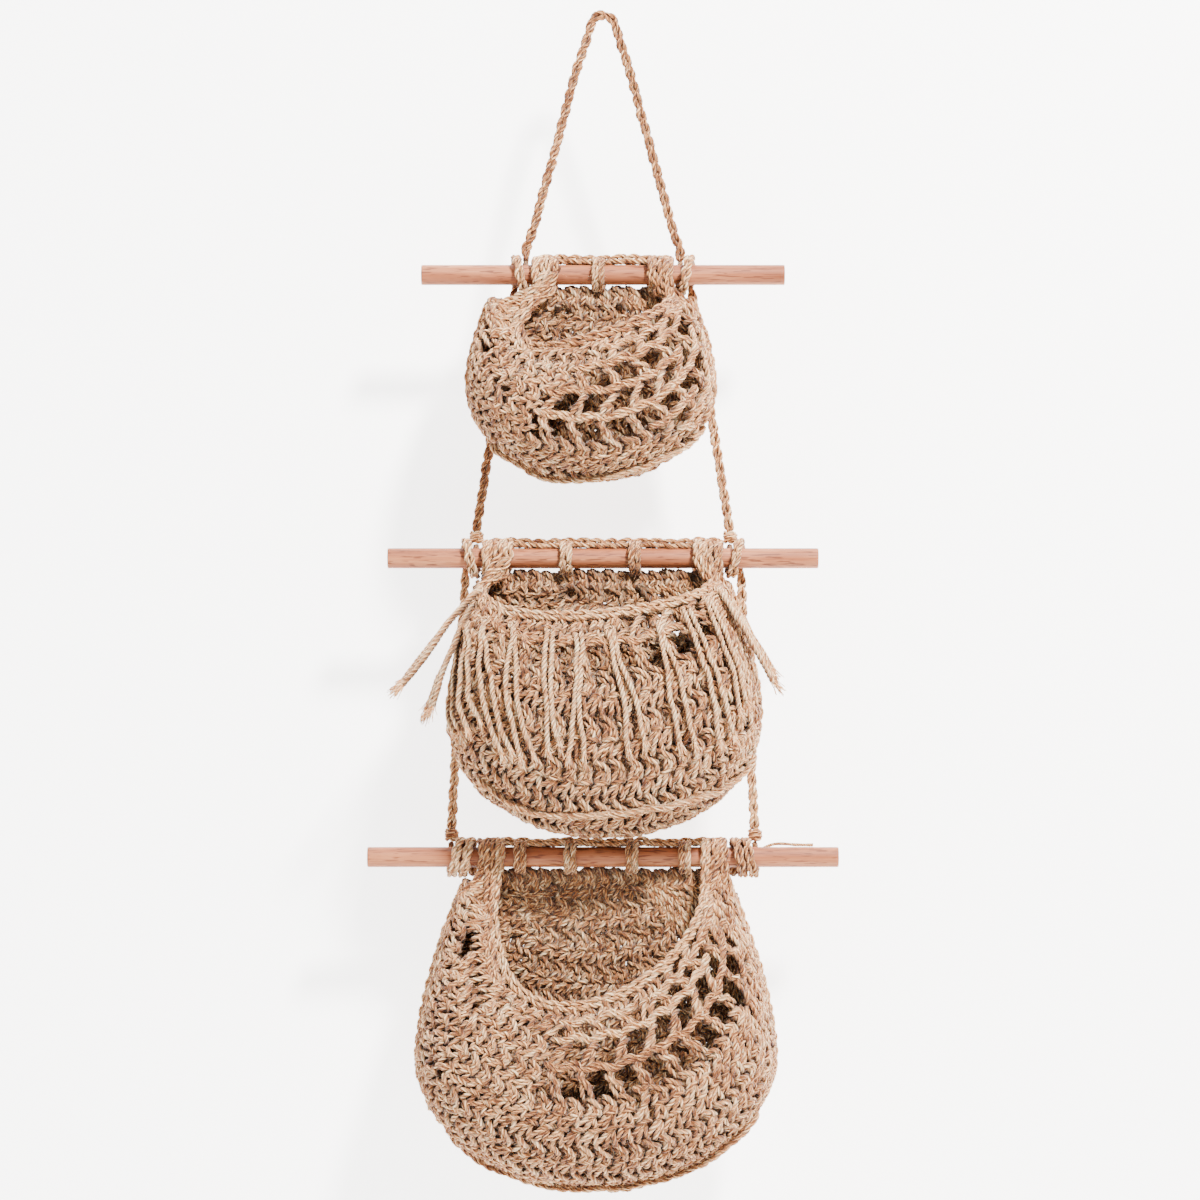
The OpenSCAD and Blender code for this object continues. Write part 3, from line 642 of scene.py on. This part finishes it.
def crochet(b, cloth, body, name, node, heights, pitch, zone, yarn_r=1.85, groups=2,
            fuzz=900, ribs=0.5, sides=9, step=1.4, least=0.72, both=False, inner_shade=0.0):
    """Rows of crochet from the seam up: dense stitches, or open mesh where zone says so.

    With both, the cloth has stitches on its back too, and painted shade can darken a front that faces inwards.
    """
    t_grid, rib = cloth.rib_scale(ribs)
    marks = np.concatenate([[0], np.cumsum(heights)])
    levels = np.interp(marks / marks[-1] * rib[-1], rib, t_grid)
    share = rib[-1] / marks[-1]
    made = 0
    yarns = Yarns(body)
    per = len(heights) / groups
    for k in range(1, len(levels)):
        s_grid, length = cloth.row_scale(levels[k])
        count = max(3, int(round(length[-1] / pitch)))
        w = length[-1] / count
        centres = np.interp((np.arange(count) + 0.5) * w, length, s_grid)
        # Near the corners the ribs are short, so only every second or fourth row goes on there
        low_t = np.full(count, levels[k - 1])
        keep = np.ones(count, bool)
        for i, s in enumerate(centres):
            rise = np.linalg.norm(cloth.at(s, levels[k]) - cloth.at(s, levels[k - 1]))
            jump = 1
            while rise * jump < least * heights[k - 1] * share and jump < 8:
                jump *= 2
            keep[i] = k % jump == 0 or k == len(levels) - 1
            low_t[i] = levels[max(0, k - jump)]
        middle_t = (levels[k] + levels[k - 1]) / 2
        kinds = [zone(cloth.at(s, middle_t), k) if keep[i] else "none" for i, s in enumerate(centres)]
        top_t = np.full(count, levels[k])

        def place(low, high, cells, shape, wide=1.0, lean=0.0, look=1.0, hidden_shade=None, jitter=0.38):
            """Control points of a run of cells, with their painted shade and the way out of the fabric.

            look is 1 for what is seen from the front of the cloth and -1 from its back.
            """
            u = (cells[:, None] + 0.5 + wide * shape[None, :, 0] + lean * (shape[None, :, 1] - 0.5)) * w
            s = np.interp(np.clip(u, 0, length[-1]), length, s_grid)
            index = np.clip(np.round(cells).astype(int), 0, count - 1)
            t = mix(low[index][:, None], high[index][:, None], shape[None, :, 1])
            d = shape[None, :, 2] + 0 * s
            if look < 0:
                d = 0.5 - WALL - d
            q = uneven(cloth.off(s, np.clip(t, 0, 1), d))
            q = q + rng.normal(0, jitter, q.shape)
            # Painted shade: darker the deeper a stitch's yarn lies, more on a front that faces inwards, and on the top
            # of the last row beside the rim
            if hidden_shade is None:
                hidden_shade = np.clip((-shape[:, 2] - 0.8) / 2.4, 0, 1)[None, :] + (inner_shade if look > 0 else 0)
                if k == len(levels) - 1:
                    hidden_shade = hidden_shade + 0.6 * np.clip((shape[:, 1] - 0.6) / 0.4, 0, 1)
            out = look * cloth.normal(s, np.clip(t, 0, 1))
            return np.concatenate([q, (hidden_shade + 0 * s)[..., None], out], -1)

        def runs(word):
            out, run = [], []
            for i, kind in enumerate(kinds + ["end"]):
                if kind == word:
                    run.append(i)
                elif run:
                    out.append(np.array(run))
                    run = []
            return out

        tiers = [(low_t, top_t, k % 2)]
        if heights[k - 1] > 15.5:
            half_t = (low_t + top_t) / 2
            tiers = [(low_t, half_t, 0), (half_t, top_t, 1)]
        for run in runs("dense"):
            for low, high, odd in tiers:
                for look in (1.0, -1.0) if both else (1.0,):
                    for shape in RIGHT_SIDE if odd == (look > 0) else WRONG_SIDE:
                        for way in place(low, high, run, shape, look, 0.12 * look, look):
                            yarns.strand(way, yarn_r, step, sides)
                fill = FILL + (0, 0, -3.0 if both else -4.5)
                for mirror in (1, -1) if both else (1,):
                    # The filling zigzag gets painted shade, as dark as the inside of the fabric
                    way = place(low, high, run, fill * (mirror, 1, 1), hidden_shade=0.8).reshape(-1, 7)
                    yarns.strand(way, 2.0, step * 1.6, 6)
        for run in runs("mesh"):
            posts = max(1, int(round(len(run) * w / MESH_PITCH)))
            lean = 0.5 if k % 2 else -0.5
            for j in range(posts):
                cell = np.array([run[0] - 0.5 + (j + 0.5) * len(run) / posts])
                for shape in BUNDLE:
                    yarns.strand(place(low_t, top_t, cell, shape, 1.0 if lean > 0 else -1.0, lean)[0],
                                 yarn_r, step, sides)
            u = np.linspace(run[0], run[-1] + 1, 8 * posts + 6) * w
            s = np.interp(u, length, s_grid)
            swag = np.cos((u / w - run[0]) / len(run) * posts * 2 * math.pi)
            t = np.clip(levels[k] + 0.006 * swag, 0, 1)
            centre = uneven(cloth.off(s, t, -2.2 + 0.8 * swag))
            up = cloth.at(s, np.clip(t + 0.01, 0, 1)) - cloth.at(s, np.clip(t - 0.01, 0, 1))
            up /= np.linalg.norm(up, axis=1)[:, None] + 1e-9
            chain(yarns, centre, up, cloth.normal(s, t), 14.0, 1.8, yarn_r, step, flat=0.85, sides=sides)
        if k >= per * (made + 1) or k == len(levels) - 1:
            made += 1
            yarns.build(f"{name}_{made}", [node])
            if fuzz:
                add_fuzz(yarns, f"{name}_fuzz_{made}", fuzz)
            yarns = Yarns(body)


def inside(x, y, shape):
    """Whether a point lies in a polygon."""
    hit = False
    for (x1, y1), (x2, y2) in zip(shape, shape[1:] + shape[:1]):
        if (y1 > y) != (y2 > y) and x < x1 + (y - y1) / (y2 - y1) * (x2 - x1):
            hit = not hit
    return hit


# Where the fabric is open mesh, in X and Z
MESH = {
    "top": [[(-56, -284), (-32, -279), (11, -241), (39, -208), (77, -215), (84, -275), (72, -311), (-56, -312)]],
    "middle": [[(-91, -444), (-47, -456), (5, -455), (57, -435), (81, -416), (84, -458), (-2, -481), (-87, -481)]],
    "bottom": [[(-41, -734), (35, -733), (35, -799), (-41, -799)],
               [(48, -672), (72, -667), (109, -687), (105, -713), (75, -753), (54, -782), (35, -777), (39, -728)]],
}
MESH_PITCH = 20.0


def zone_of(which):
    return lambda p, k: "mesh" if any(inside(p[0], p[2], shape) for shape in MESH[which]) else "dense"


ROWS = {
    "top": [11.5] * 4 + [17] * 4 + [11.5] * 2,
    "middle": [11.5] * 11 + [17] * 2,
    "bottom": [11.5] * 8 + [18] * 3 + [11.5] * 2,
}
PITCH = 11.8
CORNER = {"top": 43.0, "middle": 80.0, "bottom": 82.7}
# The cord's turn that lies next to each basket on its dowel
NEXT_TURN = {"top": TOP_X, "middle": MIDDLE_X, "bottom": BOTTOM_X - 2 * TURN_STEP}

for which, b in BASKETS.items():
    body = f"{which}_basket"
    front = Cloth(lambda s, t, b=b: pocket_at(b, s, t))
    crochet(b, front, body, f"{which}_front_rows", f"{which}_pocket", ROWS[which], PITCH,
            zone_of(which), groups=5 if which == "bottom" else 4)
    panel = Cloth(lambda s, t, b=b: panel_at(b, s, t))
    depth = b["drop"] - EDGE_DROP
    crochet(b, panel, body, f"{which}_back_rows", f"{which}_back_panel", [12.0] * int(depth / 12.0), 11.0,
            lambda p, k: "dense", groups=5 if which == "bottom" else 3, fuzz=300, sides=6, step=1.7,
            both=True, inner_shade=0.15)
    reach = CORNER[which] + 9
    strip = Cloth(lambda s, t, b=b, r=reach: np.stack(
        [r * (2 * s - 1) + 0 * t, PANEL_Y + 0 * s + 0 * t, b["z"] - EDGE_DROP - 6 + 13 * t + 0 * s], -1))
    crochet(b, strip, body, f"{which}_back_strip", f"{which}_back_panel", [13], 11.0,
            lambda p, k: "dense", groups=1, fuzz=60, both=True, inner_shade=0.15)


# ---- rims, seams and what goes round the dowels ----

# Where the ridges show, in X and in Z below each dowel
RIDGE = {
    "top": [(-84, -127), (-75, -136), (-50, -146), (-23, -150), (20, -144), (52, -131), (74, -112)],
    "middle": [(-92, -160), (-70, -176), (-43, -186), (-10, -187), (30, -182), (70, -172), (101, -158), (110, -146)],
    "bottom": [(-112, -204), (-80, -226), (-48, -236), (0, -237), (56, -226), (92, -205), (114, -184)],
}


def on_front(cloth, x, z):
    """Place on a cloth, in its s and t, that shows at a given X and Z from the front."""
    s, t = np.meshgrid(np.linspace(0.02, 0.98, 97), np.linspace(0.05, 0.9, 69), indexing="ij")
    p = cloth.at(s, t)
    miss = np.hypot(p[..., 0] - x, p[..., 2] - z) + 0.05 * p[..., 1]
    best = np.unravel_index(np.argmin(miss), miss.shape)
    return s[best], t[best], 0.0


def over_dowel(x, z, side):
    """A way from behind a dowel over its top and down its front, or back on the right."""
    a = np.radians(np.linspace(-150, 95, 14))
    r = DOWEL_R + 3.6
    ring = np.column_stack([x + 0 * a, -r * np.sin(a), z + r * np.cos(a)])
    return ring if side < 0 else ring[::-1]


for which, b in BASKETS.items():
    body = f"{which}_basket"
    front = Cloth(lambda s, t, b=b: pocket_at(b, s, t))
    edge = Yarns(body)
    s = np.linspace(0.03, 0.97, 60)
    one = np.ones_like(s)
    corner = CORNER[which]
    # One chain edges the mouth, and a second beside it makes the straps near the dowel
    strap = corner - 3 if which == "middle" else corner
    left, right = (over_dowel(side * (strap - 6.5), b["z"], side) for side in (-1, 1))
    ways = [np.vstack([left, front.off(s, one, 0.4 + 0 * s), right])]
    inner = uneven(front.off(s, one - 0.055, -0.2 + 0 * s))
    left, right = (over_dowel(side * (strap + 0.8), b["z"], side) for side in (-1, 1))
    ways += [np.vstack([left, inner[:11]]), np.vstack([inner[-11:], right])]
    for way in ways:
        way = smooth(way, 2.0)[:, :3]
        t = np.gradient(way, axis=0)
        t /= np.linalg.norm(t, axis=1)[:, None]
        # It faces out of the pocket, and away from the dowel where it goes over
        face = np.array([0.0, -1.0, 0.25]) + 0 * way
        near = np.linalg.norm(way[:, 1:] - (0, b["z"]), axis=1) < 16
        face[near] = np.column_stack([0 * way[near, 0], way[near, 1], way[near, 2] - b["z"]])
        for _ in range(6):
            face[1:-1] = (face[:-2] + face[1:-1] + face[2:]) / 3
        face -= np.sum(face * t, axis=1)[:, None] * t
        face /= np.linalg.norm(face, axis=1)[:, None]
        chain(edge, way, np.cross(face, t), face, 11.0, 2.4, 1.9, flat=0.9, wobble=0.16)
    # Crochet that gathers each shoulder up onto the dowel
    for side in (-1, 1):
        s_end = 0.02 if side < 0 else 0.98
        foot_out = front.at(s_end, 0.25) + (0, 0, -4)
        foot_in = front.at(s_end, 0.98) + (0, 0, -4)
        head_out = np.array([side * min(strap + 8, NEXT_TURN[which] - 7.7), -10.5, b["z"] + 2.0])
        head_in = np.array([side * (strap - 4), -10.0, b["z"] + 2.0])
        for lane in np.linspace(0.04, 0.92, 4):
            foot, head = mix(foot_out, foot_in, lane), mix(head_out, head_in, lane)
            # Only the outermost goes over the dowel, and the others begin below it
            over = over_dowel(head[0], b["z"], -1)[:-1] if lane < 0.1 else head[None] + (0, 2.5, -8)
            way = np.vstack([over, head + (0, -0.5, -12 if lane < 0.1 else -15), mix(head, foot, 0.75), foot])
            way = smooth(way, 2.0)[:, :3]
            p, across, face = path_frames(way, (0, -1, 0))
            away = p - np.column_stack([p[:, 0], 0 * p[:, 0], b["z"] + 0 * p[:, 0]])
            near = np.linalg.norm(away, axis=1) < 15
            face[near] = away[near]
            tangent = np.gradient(p, axis=0)
            tangent /= np.linalg.norm(tangent, axis=1)[:, None]
            face -= np.sum(face * tangent, axis=1)[:, None] * tangent
            face /= np.linalg.norm(face, axis=1)[:, None]
            chain(edge, uneven(p), np.cross(face, tangent), face, 11.0, 1.9, 1.75, flat=0.8)
    edge.build(f"{which}_rim", [f"{which}_pocket"])
    add_fuzz(edge, f"{which}_rim_fuzz", 450)
    # The ridge where the front turns under shows as a raised chain low on the front
    ridge = Yarns(body)
    spots = smooth(np.array([on_front(front, x, z + b["z"]) for x, z in RIDGE[which]]), 0.01)
    s, t = spots[:, 0], spots[:, 1]
    n = front.normal(s, t)
    up = front.at(s, t + 0.02) - front.at(s, t - 0.02)
    up /= np.linalg.norm(up, axis=1)[:, None]
    chain(ridge, uneven(front.at(s, t)) + n * 2.2, up, n, 10.0, 1.1, 1.6, core=-0.6)
    s = np.linspace(0.0, 1.0, 260)
    ex, ez = outline(b, s)
    line = np.column_stack([ex, np.full_like(ex, PANEL_Y - 0.5), ez + b["z"]])
    p, side, face = path_frames(line, (0, 1, 0))
    chain(ridge, p - side, 0.6 * face + 0.8 * side, 0.8 * side - 0.6 * face, 10.5, 1.6, 1.65, core=-0.6)
    ridge.build(f"{which}_seam", [f"{which}_pocket"])
    # Loops round the dowel and the chain that links them
    loops = Yarns(body)
    narrow = {"top": [-3], "middle": [-27, 24], "bottom": [-61, -24, 22, 61]}[which]
    rounds = [(side * (corner + dx), 0) for side in (-1, 1) for dx in (-6.2, 6.6)]
    rounds += [(x + dx, 1) for x in narrow for dx in (-2.3, 2.3)]
    for x, thin in rounds:
        a = np.linspace(0, 2 * math.pi, 60) + rng.uniform(0, 6)
        r = DOWEL_R + 3.1
        ring = np.column_stack([x + 0.6 * np.sin(a), r * np.sin(a), b["z"] + r * np.cos(a)])
        out = np.column_stack([0 * a, np.sin(a), np.cos(a)])
        across = np.column_stack([np.ones_like(a), 0 * a, 0 * a])
        chain(loops, ring, across, out, 10.0, 1.3 if thin else 1.7, 1.5 if thin else 1.6, flat=0.75, wobble=0.15)
    x = np.linspace(-corner - 8, corner + 8, 120)
    sag = 0.5 * np.sin((x + corner) * 0.13)
    bar = np.column_stack([x, 0.6 + 0 * x, b["z"] + 10.3 + sag])
    p, side, face = path_frames(bar, (0, -0.8, 0.6))
    low = which == "bottom"
    chain(loops, p, side, face, 11.0, 2.0 if low else 2.8, 1.65 if low else 1.85, core=-0.6)
    loops.build(f"{which}_dowel_chain", [f"{which}_dowel_loops"])
    add_fuzz(loops, f"{which}_dowel_fuzz", 250)


# ---- fringe ----

TASSELS = [
    (0.02, 0.84, 0.16, 0.34, 34), (0.045, 0.6, 0.19, 0.34, 15), (0.09, 0.42, 0.25, 0.4, 2),
    (0.11, 0.72, 0.275, 0.56, 2), (0.175, 0.9, 0.345, 0.55, 2), (0.275, 0.95, 0.385, 0.57, 2),
    (0.385, 0.95, 0.425, 0.61, 2), (0.455, 0.95, 0.465, 0.6, 2), (0.535, 0.95, 0.555, 0.63, 2),
    (0.655, 0.95, 0.635, 0.59, 2), (0.745, 0.95, 0.705, 0.52, 2), (0.85, 0.95, 0.765, 0.53, 2),
    (0.94, 0.9, 0.86, 0.3, 12)]
middle = BASKETS["middle"]
middle_front = Cloth(lambda s, t: pocket_at(middle, s, t))


def add_tassel(number, spot):
    """A doubled yarn hitched under the rim, its two ends apart and frayed."""
    s0, t0, s1, t1, lift = spot
    yarns = Yarns("middle_basket")
    u = np.linspace(0, 1, 9)
    s, t = mix(s0, s1, u), mix(t0, t1, u)
    n = middle_front.normal(s, t)
    base = uneven(middle_front.at(s, t)) + n * (3.0 + lift * u ** 1.5)[:, None]
    way = np.gradient(base, axis=0)
    way /= np.linalg.norm(way, axis=1)[:, None]
    across = np.cross(way, n)
    across /= np.linalg.norm(across, axis=1)[:, None]
    sides = (-1.5, -0.5, 0.5, 1.5) if lift > 10 else (-1, 1)
    for side in sides:
        spread = side * (1.2 + rng.uniform(2.5, 6.0) * u ** 1.3)
        end = 1 + rng.uniform(-0.06, 0.04)
        wave = 1.3 * np.sin(u * rng.uniform(3, 8) + rng.uniform(0, 6))
        points = base + across * (spread + wave)[:, None] + n * (0.4 * wave)[:, None]
        points = points[0] + (points - points[0]) * end
        yarns.strand(np.column_stack([points, 0 * u, n]), 1.9, 1.1, 9, 12.0, tone=1.0)
        tip, heading = points[-1], way[-1]
        for _ in range(20):
            off = rng.normal(0, 0.8, 3)
            reach = rng.uniform(5, 11)
            bend = heading * reach + rng.normal(0, 1.4, 3) + n[-1] * 1.5
            yarns.strand(np.array([tip + off * 0.6 - heading * 1.5, tip + off + bend * 0.5, tip + off * 1.6 + bend]),
                         0.55, reach / 4, 3, tone=1.0, taper=0.5, fuzz=False)
    # The hitch round the rim
    top = base[0]
    a = np.linspace(0, 2 * math.pi, 12)
    hitch = (top + across[0] * (2.9 * np.cos(a))[:, None] - way[0] * (2.6 * np.sin(a) + 1.0)[:, None]
             + n[0] * (0.9 * np.cos(2 * a) - 0.6)[:, None])
    yarns.strand(hitch, 1.4, 1.1)
    yarns.build(f"tassel_{number}", [f"fringe_tassel_{number}"])
    return yarns


fringe = [add_tassel(i + 1, spot) for i, spot in enumerate(TASSELS)]
hairy = Yarns("middle_basket")
for yarns in fringe:
    hairy.roots += yarns.roots
add_fuzz(hairy, "fringe_fuzz", 700)
add_fuzz(loop_yarns, "hanging_cord_fuzz", 260)


# ---- dowels ----

for name in ("top_dowel", "middle_dowel", "bottom_dowel"):
    node = bpy.data.objects[name]
    for slot in node.material_slots:
        slot.material = BEECH


# ---- setting and light ----

def stage_material(name, colour, glow=0.0):
    """A matt surface with a front alone, so that the basket is also seen from behind and below."""
    n = Nodes(name)
    n.shader.inputs["Base Color"].default_value = linear(colour)
    n.shader.inputs["Roughness"].default_value = 0.95
    n.shader.inputs["Specular IOR Level"].default_value = 0.1
    n.shader.inputs["Emission Color"].default_value = (1.0, 1.0, 1.0, 1.0)
    n.shader.inputs["Emission Strength"].default_value = glow
    faces = n.add("ShaderNodeNewGeometry")
    clear = n.add("ShaderNodeBsdfTransparent")
    one_sided = n.add("ShaderNodeMixShader")
    n.link(faces.outputs["Backfacing"], one_sided.inputs[0])
    n.link(n.shader.outputs[0], one_sided.inputs[1])
    n.link(clear.outputs[0], one_sided.inputs[2])
    output = next(node for node in n.tree.nodes if node.type == "OUTPUT_MATERIAL")
    n.link(one_sided.outputs[0], output.inputs["Surface"])
    return n.material


def add_plane(name, corners, material):
    mesh = bpy.data.meshes.new(name)
    mesh.from_pydata(corners, [], [(0, 1, 2, 3)])
    mesh.materials.append(material)
    obj = bpy.data.objects.new(name, mesh)
    bpy.context.scene.collection.objects.link(obj)


def add_light(name, where, aim, size, power, colour=(1, 1, 1)):
    light = bpy.data.lights.new(name, "AREA")
    light.shape = "DISK"
    light.size = size
    light.energy = power
    light.color = colour
    obj = bpy.data.objects.new(name, light)
    bpy.context.scene.collection.objects.link(obj)
    obj.location = where
    obj.rotation_euler = (Vector(aim) - Vector(where)).to_track_quat("-Z", "Y").to_euler()


FLOOR_Z, WALL_TOP, WALL_Y, REACH = -1.35, 2.2, 0.09, 4.0
add_plane("floor", [(-REACH, -REACH, FLOOR_Z), (REACH, -REACH, FLOOR_Z), (REACH, REACH, FLOOR_Z),
                    (-REACH, REACH, FLOOR_Z)], stage_material("pale_floor", "#e9e7e4"))
add_plane("backdrop", [(-REACH, WALL_Y, FLOOR_Z), (REACH, WALL_Y, FLOOR_Z), (REACH, WALL_Y, WALL_TOP),
                       (-REACH, WALL_Y, WALL_TOP)], stage_material("pale_wall", "#fbfbfb", 3.6))
middle_point = (0, 0, -0.45)
add_light("key", (1.0, -1.9, 1.5), middle_point, 0.4, 350, (1.0, 0.97, 0.93))
add_light("fill", (-1.9, -2.4, 0.0), middle_point, 1.8, 12, (0.97, 0.98, 1.0))

world = bpy.data.worlds.new("world")
world.use_nodes = True
background = world.node_tree.nodes["Background"]
background.inputs["Color"].default_value = (0.97, 0.98, 1.0, 1.0)
background.inputs["Strength"].default_value = 0.55
bpy.context.scene.world = world
